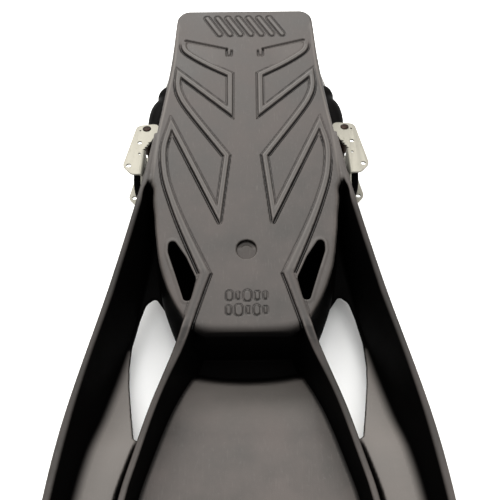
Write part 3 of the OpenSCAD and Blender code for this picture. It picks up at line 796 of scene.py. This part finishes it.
# Flat sheet with holes and softened edges
def flatPlate(name, outline, holes, thick, placePoint, bevel=0.28):
    curve = bpy.data.curves.new(name, "CURVE")
    curve.dimensions = "2D"
    curve.fill_mode = "BOTH"
    curve.extrude = thick / 2 - bevel
    curve.bevel_depth = bevel
    curve.bevel_resolution = 2
    curve.offset = -bevel
    for loop in [outline] + holes:
        spline = curve.splines.new("POLY")
        spline.points.add(len(loop) - 1)
        spline.use_cyclic_u = True
        for point, (a, b) in zip(spline.points, loop):
            point.co = (a, b, 0, 1)
    obj = newObject(name + "Curve", curve)
    graph = bpy.context.evaluated_depsgraph_get()
    mesh = bpy.data.meshes.new_from_object(obj.evaluated_get(graph))
    bpy.data.objects.remove(obj)
    movePoints(mesh, strapRow(placePoint(pointsOf(mesh))))
    return mesh


def circle(x, y, r, count=40):
    return [(x + r * math.cos(2 * math.pi * k / count), y + r * math.sin(2 * math.pi * k / count))
            for k in range(count)]


def joined(name, meshes):
    bm = bmesh.new()
    for mesh in meshes:
        bm.from_mesh(mesh)
        bpy.data.meshes.remove(mesh)
    bmesh.ops.remove_doubles(bm, verts=bm.verts, dist=2e-6)
    bmesh.ops.recalc_face_normals(bm, faces=bm.faces)
    made = bpy.data.meshes.new(name)
    bm.to_mesh(made)
    bm.free()
    obj = newObject(name, made)
    shadeSmooth(made)
    made.set_sharp_from_angle(angle=math.radians(32))
    return obj


# U bracket: two flanges, the web with the post hole and the two rounded bends
bracketSizes = {"height": 39, "sheet": 1.5, "bend": 2.4, "postHole": 7.08, "pinHole": 3.08}


def makeBracket(name, side):
    out, sheet, high = strap["webY"], bracketSizes["sheet"], bracketSizes["height"]
    bend = bracketSizes["bend"]
    teeth = [(-27, out - 4, 0), (-25.6, out - 1.2, 0), (-24.2, out - 3.2, 0), (-22.8, out - 0.2, 0),
             (-21.4, out - 1.9, 0), (-20, out + 1, 0), (-18.6, out - 0.2, 0)]
    flange = rounded([(13, out + bend, 0), (13, out + 9, 6), (3, out + 17, 8), (-49, out + 10, 6),
                      (-51, out - 10, 5), (-40, out - 9, 4)] + teeth + [(-17, out + bend, 0)])
    holes = [circle(-strap["pinBack"], legY, bracketSizes["pinHole"]), circle(-26, out + 5.5, 1.8),
             circle(2.5, out + 12, 2.0), circle(-42, out + 6.5, 0.8, 20), circle(-12, out + 4.4, 1.0, 24)]
    meshes = []
    for level in (-high / 2 + sheet / 2, high / 2 - sheet / 2):
        meshes.append(flatPlate(name, flange, holes, sheet,
                                lambda p, z=level: np.stack([p[:, 0], side * p[:, 1], p[:, 2] + z], 1)))
    half = high / 2 - bend
    web = rounded([(-17, -half, 0), (13, -half, 0), (20, -half + 6.6, 6), (20, half - 6.6, 6),
                   (13, half, 0), (-17, half, 0)])
    meshes.append(flatPlate(name, web, [circle(0, 0, bracketSizes["postHole"], 64)], sheet,
                            lambda p: np.stack([p[:, 0], side * (out + sheet / 2 + p[:, 2]), p[:, 1]], 1)))
    for level in (-1, 1):
        arc = [(bend * (1 - math.cos(t)), bend * math.sin(t)) for t in np.linspace(0, math.pi / 2, 7)]
        thin = bend - sheet
        inner = [(sheet + thin * (1 - math.cos(t)), thin * math.sin(t))
                 for t in np.linspace(math.pi / 2, 0, 7)]
        outline = [(u, half + w) for u, w in arc + inner]
        meshes.append(flatPlate(name, outline, [], 30, lambda p, s=level: np.stack(
            [p[:, 2] - 2, side * (out + p[:, 0]), s * p[:, 1]], 1), 0.05))
    return joined(name, meshes)


# Closed coil of round wire
springSizes = {"diameter": 15, "wire": 2.4, "play": 0.05, "inSleeve": 18, "inPad": 8, "openness": 1.03}


def coilTree(name):
    tree = bpy.data.node_groups.new(name, "GeometryNodeTree")
    face = tree.interface
    face.new_socket("Geometry", in_out="INPUT", socket_type="NodeSocketGeometry")
    wanted = [("Turns", "NodeSocketFloat", 30.0), ("Coil radius", "NodeSocketFloat", 6.3),
              ("Length", "NodeSocketFloat", 72.0), ("Wire radius", "NodeSocketFloat", 1.2),
              ("Steps", "NodeSocketInt", 28)]
    for label, kind, value in wanted:
        face.new_socket(label, in_out="INPUT", socket_type=kind).default_value = value
    face.new_socket("Material", in_out="INPUT", socket_type="NodeSocketMaterial")
    face.new_socket("Geometry", in_out="OUTPUT", socket_type="NodeSocketGeometry")
    nodes, links = tree.nodes, tree.links
    given, result = nodes.new("NodeGroupInput"), nodes.new("NodeGroupOutput")
    spiral, ring = nodes.new("GeometryNodeCurveSpiral"), nodes.new("GeometryNodeCurvePrimitiveCircle")
    sweep, smooth = nodes.new("GeometryNodeCurveToMesh"), nodes.new("GeometryNodeSetShadeSmooth")
    real, paint = nodes.new("GeometryNodeRealizeInstances"), nodes.new("GeometryNodeSetMaterial")
    ring.inputs["Resolution"].default_value = 12
    sweep.inputs["Fill Caps"].default_value = True
    links.new(given.outputs["Steps"], spiral.inputs["Resolution"])
    links.new(given.outputs["Turns"], spiral.inputs["Rotations"])
    links.new(given.outputs["Coil radius"], spiral.inputs["Start Radius"])
    links.new(given.outputs["Coil radius"], spiral.inputs["End Radius"])
    links.new(given.outputs["Length"], spiral.inputs["Height"])
    links.new(given.outputs["Wire radius"], ring.inputs["Radius"])
    links.new(spiral.outputs["Curve"], sweep.inputs["Curve"])
    links.new(ring.outputs["Curve"], sweep.inputs["Profile Curve"])
    links.new(sweep.outputs["Mesh"], smooth.inputs["Geometry"])
    links.new(smooth.outputs["Geometry"], real.inputs["Geometry"])
    links.new(real.outputs["Geometry"], paint.inputs["Geometry"])
    links.new(given.outputs["Material"], paint.inputs["Material"])
    links.new(paint.outputs["Geometry"], result.inputs["Geometry"])
    return tree


def makeSpring(name, side, tree, material):
    start, end = strap["sleeveLength"] - springSizes["inSleeve"], legEnd + springSizes["inPad"]
    wire = springSizes["wire"]
    obj = newObject(name, bpy.data.meshes.new(name))
    coil = obj.modifiers.new("coil", "NODES")
    coil.node_group = tree
    ids = {s.name: s.identifier for s in tree.interface.items_tree if s.in_out == "INPUT"}
    coil[ids["Turns"]] = float(round((end - start) / (wire * springSizes["openness"])))
    coil[ids["Coil radius"]] = springSizes["diameter"] / 2 - wire / 2 - springSizes["play"]
    coil[ids["Length"]] = float(end - start)
    coil[ids["Wire radius"]] = wire / 2
    coil[ids["Material"]] = material
    baked(obj)
    co = pointsOf(obj.data)
    co = np.stack([-start - co[:, 2], co[:, 1], co[:, 0]], 1)
    movePoints(obj.data, strapRow(legToStrap(co, side)))
    return obj


# Rubber colours: the base black is darker than the rubber, as painted shade for walls and deep places; the two
# bloom tints are the light tone of faces that look up, partly chalky bloom and partly painted light; the groove
# colour is painted shade in hollows; the rubbed colour is rubbed wear and painted highlight
looks = {
    "rubber": (0.0011, 0.0010, 0.0010), "groove": (0.0008, 0.0007, 0.0007),
    "bloomAndLightA": (0.0470, 0.0418, 0.0375), "bloomAndLightB": (0.0780, 0.0668, 0.0612),
    "rubbedAndHighlight": (0.155, 0.141, 0.129), "dust": (0.11, 0.103, 0.097), "patchScale": 26,
    "dustShare": 0.2, "rubbedAndHighlightShare": 0.52, "scuffShare": 0.14,
    "steel": (0.268, 0.257, 0.220), "steelDull": (0.245, 0.235, 0.203),
    "pin": (0.008, 0.005, 0.004), "pinDull": (0.016, 0.010, 0.007),
    "wire": (0.42, 0.41, 0.39), "wireDull": (0.34, 0.33, 0.31), "stain": (0.30, 0.26, 0.21),
}


# Shader groups: masks and values only
def shaderGroup(name, inputs, outputs):
    tree = bpy.data.node_groups.new(name, "ShaderNodeTree")
    for label, kind, value in inputs:
        tree.interface.new_socket(label, in_out="INPUT", socket_type=kind).default_value = value
    for label, kind in outputs:
        tree.interface.new_socket(label, in_out="OUTPUT", socket_type=kind)
    return tree, tree.nodes.new("NodeGroupInput"), tree.nodes.new("NodeGroupOutput")


def mathNode(nodes, links, kind, a, b=None, clamp=False):
    node = nodes.new("ShaderNodeMath")
    node.operation = kind
    node.use_clamp = clamp
    for socket, value in zip(node.inputs, (a, b)):
        if value is None:
            continue
        if isinstance(value, (int, float)):
            socket.default_value = value
        else:
            links.new(value, socket)
    return node.outputs[0]


def noiseNode(nodes, links, vector, scale, detail=4, rough=0.5):
    node = nodes.new("ShaderNodeTexNoise")
    node.inputs["Scale"].default_value = scale
    node.inputs["Detail"].default_value = detail
    node.inputs["Roughness"].default_value = rough
    links.new(vector, node.inputs["Vector"])
    return node


def rangeNode(nodes, links, value, low, high, newLow=0.0, newHigh=1.0):
    node = nodes.new("ShaderNodeMapRange")
    for label, number in (("From Min", low), ("From Max", high), ("To Min", newLow), ("To Max", newHigh)):
        node.inputs[label].default_value = number
    links.new(value, node.inputs["Value"])
    return node.outputs[0]


def mixColour(nodes, links, share, a, b, kind="MIX"):
    node = nodes.new("ShaderNodeMix")
    node.data_type = "RGBA"
    node.blend_type = kind
    for socket, value in ((node.inputs[0], share), (node.inputs[6], a), (node.inputs[7], b)):
        if isinstance(value, (int, float)):
            socket.default_value = value
        elif isinstance(value, tuple):
            socket.default_value = (*value, 1)
        else:
            links.new(value, socket)
    return node.outputs[2]


# Broad patches, specks, fine grain and slanting scratches
def wearGroup():
    tree, given, result = shaderGroup("wear", [("Patch scale", "NodeSocketFloat", 9.0)], [
        ("Patches", "NodeSocketFloat"), ("Specks", "NodeSocketFloat"), ("Grain", "NodeSocketFloat"),
        ("Scratches", "NodeSocketFloat")])
    nodes, links = tree.nodes, tree.links
    place = nodes.new("ShaderNodeTexCoord").outputs["Object"]
    patches = noiseNode(nodes, links, place, 9, 5, 0.55)
    links.new(given.outputs[0], patches.inputs["Scale"])
    specks = noiseNode(nodes, links, place, 420, 2, 0.5)
    grain = noiseNode(nodes, links, place, 1500, 3, 0.6)
    stretch = nodes.new("ShaderNodeMapping")
    stretch.inputs["Scale"].default_value = (14, 160, 160)
    stretch.inputs["Rotation"].default_value = (0, 0, 0.5)
    links.new(place, stretch.inputs["Vector"])
    lines = noiseNode(nodes, links, stretch.outputs["Vector"], 6, 3, 0.6)
    links.new(rangeNode(nodes, links, patches.outputs[0], 0.35, 0.65), result.inputs["Patches"])
    links.new(rangeNode(nodes, links, specks.outputs[0], 0.62, 0.78), result.inputs["Specks"])
    links.new(grain.outputs[0], result.inputs["Grain"])
    links.new(rangeNode(nodes, links, lines.outputs[0], 0.60, 0.72), result.inputs["Scratches"])
    return tree


wear = wearGroup()


def newMaterial(name):
    material = bpy.data.materials.new(name)
    material.use_nodes = True
    nodes, links = material.node_tree.nodes, material.node_tree.links
    group = nodes.new("ShaderNodeGroup")
    group.node_tree = wear
    return material, nodes, links, nodes["Principled BSDF"], group


def bumpInto(nodes, links, height, strength, distance, target):
    bump = nodes.new("ShaderNodeBump")
    bump.inputs["Strength"].default_value = strength
    bump.inputs["Distance"].default_value = distance
    links.new(height, bump.inputs["Height"])
    links.new(bump.outputs[0], target.inputs["Normal"])


# Black rubber, its base darkened as painted shade, with a light tone where it faces up, partly chalky bloom and
# partly painted light; rubbed edges with painted highlights; painted shade in grooves and hollows
def rubberMaterial(name, bloomAndLightShare, masks=True):
    material, nodes, links, surface, group = newMaterial(name)
    facing = nodes.new("ShaderNodeNewGeometry").outputs["Normal"]
    dot = nodes.new("ShaderNodeVectorMath")
    dot.operation = "DOT_PRODUCT"
    dot.inputs[1].default_value = tuple(finAxes[:, 2])
    links.new(facing, dot.inputs[0])
    # Faces that look up get a light share, partly chalky bloom and partly painted light; where the masks are
    # given, their bloom mask takes its place
    upward = rangeNode(nodes, links, dot.outputs["Value"], 0.25, 0.96)
    if masks:
        bloomAndLight = nodes.new("ShaderNodeAttribute")
        bloomAndLight.attribute_name = "bloomAndLight"
        upward = bloomAndLight.outputs["Fac"]
    share = mathNode(nodes, links, "MULTIPLY", upward, bloomAndLightShare)
    tint = mixColour(nodes, links, group.outputs["Patches"], looks["bloomAndLightA"], looks["bloomAndLightB"])
    colour = mixColour(nodes, links, share, looks["rubber"], tint)
    group.inputs["Patch scale"].default_value = looks["patchScale"]
    specks = mathNode(nodes, links, "MULTIPLY", group.outputs["Specks"], share)
    dusty = mathNode(nodes, links, "MULTIPLY", specks, looks["dustShare"])
    colour = mixColour(nodes, links, dusty, colour, looks["dust"])
    if masks:
        hollow, edge = nodes.new("ShaderNodeAttribute"), nodes.new("ShaderNodeAttribute")
        hollow.attribute_name, edge.attribute_name = "hollow", "edge"
        # Edges lighter: rubbed wear and painted highlight
        wornAndHighlit = rangeNode(nodes, links, edge.outputs["Fac"], 0.25, 0.8)
        wornAndHighlit = mathNode(nodes, links, "MULTIPLY", wornAndHighlit, upward)
        wornAndHighlit = mathNode(nodes, links, "MULTIPLY", wornAndHighlit, looks["rubbedAndHighlightShare"])
        colour = mixColour(nodes, links, wornAndHighlit, colour, looks["rubbedAndHighlight"])
        # Hollows darker: painted shade
        dark = rangeNode(nodes, links, hollow.outputs["Fac"], 0.16, 0.50)
        colour = mixColour(nodes, links, dark, colour, looks["groove"])
    scuff = mathNode(nodes, links, "MULTIPLY", group.outputs["Scratches"], share)
    scuff = mathNode(nodes, links, "MULTIPLY", scuff, looks["scuffShare"])
    colour = mixColour(nodes, links, scuff, colour, looks["rubbedAndHighlight"])
    links.new(colour, surface.inputs["Base Color"])
    links.new(rangeNode(nodes, links, share, 0, 1, 0.012, 0.26), surface.inputs["Specular IOR Level"])
    rough = rangeNode(nodes, links, group.outputs["Patches"], 0, 1, 0.50, 0.64)
    links.new(rough, surface.inputs["Roughness"])
    bumpInto(nodes, links, group.outputs["Grain"], 0.10, 0.0006, surface)
    return material


def metalMaterial(name, colour, dull, rough, stain):
    material, nodes, links, surface, group = newMaterial(name)
    tone = mixColour(nodes, links, group.outputs["Patches"], colour, dull)
    stained = mathNode(nodes, links, "MULTIPLY", group.outputs["Specks"], stain)
    tone = mixColour(nodes, links, stained, tone, looks["stain"])
    links.new(tone, surface.inputs["Base Color"])
    surface.inputs["Metallic"].default_value = 1.0
    uneven = mathNode(nodes, links, "MULTIPLY", group.outputs["Scratches"], 0.12)
    links.new(mathNode(nodes, links, "ADD", uneven, rough), surface.inputs["Roughness"])
    bumpInto(nodes, links, group.outputs["Grain"], 0.06, 0.0003, surface)
    return material


finRubber = rubberMaterial("finRubber", 0.92)
strapRubber = rubberMaterial("strapRubber", 0.30)
sleeveRubber = rubberMaterial("sleeveRubber", 0.02, masks=False)
bracketSteel = metalMaterial("bracketSteel", looks["steel"], looks["steelDull"], 0.68, 0.16)
pinSteel = metalMaterial("pinSteel", looks["pin"], looks["pinDull"], 0.42, 0.04)
wireSteel = metalMaterial("wireSteel", looks["wire"], looks["wireDull"], 0.22, 0.2)
print("materials ready")


# Gives a piece its material and body, and hides the CAD nodes it stands for
def finished(obj, material, body, slot, *nodes):
    obj.data.materials.clear()
    obj.data.materials.append(material)
    if body:
        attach(obj, body)
    if nodes:
        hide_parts(*nodes)
    return obj


def both(stem):
    return [stem + "_left", stem + "_right"]


finished(moulding, finRubber, "fin", "moulded_rubber", "sole_plate", "foot_pocket", "blade_web",
         *both("outer_rail"), *both("inner_rib"), *both("side_web"), *both("strap_post"))
finished(heelPad, strapRubber, "heel", "strap_rubber", "heel_pad")

coil = coilTree("springCoil")
for word, side in (("left", -1), ("right", 1)):
    cap = word.capitalize()
    finished(makeBracket("bracket" + cap, side), bracketSteel, "strap", "bracket_steel", "bracket_" + word)
    finished(makePin("clevisPin" + cap, side), pinSteel, "strap", "pin_steel", "clevis_pin_" + word)
    finished(makeSleeve("frontSleeve" + cap, side), sleeveRubber, "strap", "strap_rubber",
             "front_sleeve_" + word)
    spring = makeSpring("spring" + cap, side, coil, wireSteel)
    finished(spring, wireSteel, None, "spring_wire", "spring_" + word)
    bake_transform(spring)

# The small steel pieces that show as they were built, with softened edges (bevel width in metres)
edgeWidths = {"pin_clip_": 0.00018, "spring_hook_": 0.0006, "rear_anchor_": 0.0004}
for word in ("left", "right"):
    for stem, width in edgeWidths.items():
        node = frame["nodes"][stem + word]
        node.data.materials.clear()
        node.data.materials.append(pinSteel)
        bevel = node.modifiers.new("soft edges", "BEVEL")
        bevel.width, bevel.segments, bevel.limit_method = width, 2, "ANGLE"
        bevel.angle_limit = math.radians(40)
print("strap built")

# Floor, lights and camera
studio = {
    "floorHalf": 6.0, "paper": (0.93, 0.93, 0.92), "paperPale": (0.95, 0.95, 0.94), "paperRough": 0.9,
    "key": 66, "top": 51, "sky": 0.69, "skyColour": (1.0, 1.0, 0.99),
}
corner = studio["floorHalf"]
floor = newObject("floor", meshFrom("floor", np.array(
    [[-corner, -corner, 0], [corner, -corner, 0], [corner, corner, 0], [-corner, corner, 0]]),
    np.array([[0, 1, 2, 3]])))
paper, nodes, links, surface, group = newMaterial("paper")
paperTone = mixColour(nodes, links, group.outputs["Patches"], studio["paper"], studio["paperPale"])
links.new(paperTone, surface.inputs["Base Color"])
surface.inputs["Roughness"].default_value = studio["paperRough"]
floor.data.materials.append(paper)


def areaLight(name, place, aim, wide, tall, watts, colour):
    data = bpy.data.lights.new(name, "AREA")
    data.shape, data.size, data.size_y = "RECTANGLE", wide, tall
    data.energy, data.color = watts, colour
    obj = bpy.data.objects.new(name, data)
    bpy.context.scene.collection.objects.link(obj)
    obj.location = place
    obj.rotation_mode = "QUATERNION"
    obj.rotation_quaternion = (Vector(aim) - Vector(place)).to_track_quat("-Z", "Y")
    return obj


areaLight("keyLight", (-1.5, -0.35, 1.5), (0, 0, 0.05), 1.6, 1.2, studio["key"], (1.0, 0.99, 0.97))
areaLight("topLight", (0.0, 0.2, 2.2), (0, 0, 0), 2.2, 2.2, studio["top"], (1.0, 1.0, 1.0))
scene = bpy.context.scene
world = bpy.data.worlds.new("studio")
scene.world = world
world.use_nodes = True
sky = world.node_tree.nodes["Background"]
sky.inputs["Color"].default_value = (*studio["skyColour"], 1)
sky.inputs["Strength"].default_value = studio["sky"]
scene.view_settings.view_transform = "Standard"

# Camera place in the fin frame (millimetres), its tilt and roll (degrees) and its lens
camera = {"x": 451.2, "y": 2.6, "z": 469, "tilt": 25, "roll": 0.61, "lens": 50.4}
lens = bpy.data.cameras.new("camera")
lens.lens, lens.sensor_width = camera["lens"], 36
eye = bpy.data.objects.new("camera", lens)
scene.collection.objects.link(eye)
scene.camera = eye
tilt, roll = math.radians(camera["tilt"]), math.radians(camera["roll"])
look = finAxes @ np.array([-math.sin(tilt), 0, -math.cos(tilt)])
upright = finAxes @ np.array([-math.cos(tilt), 0, math.sin(tilt)])
right = np.cross(look, upright)
upright = upright * math.cos(roll) + right * math.sin(roll)
right = np.cross(look, upright)
place = toRow([[camera["x"], camera["y"], camera["z"]]], finAxes, finOrigin)[0]
turn = Matrix((Vector(right), Vector(upright), Vector(-look))).transposed()
eye.matrix_world = Matrix.Translation(Vector(place)) @ turn.to_4x4()
lens.clip_start, lens.clip_end = 0.01, 50
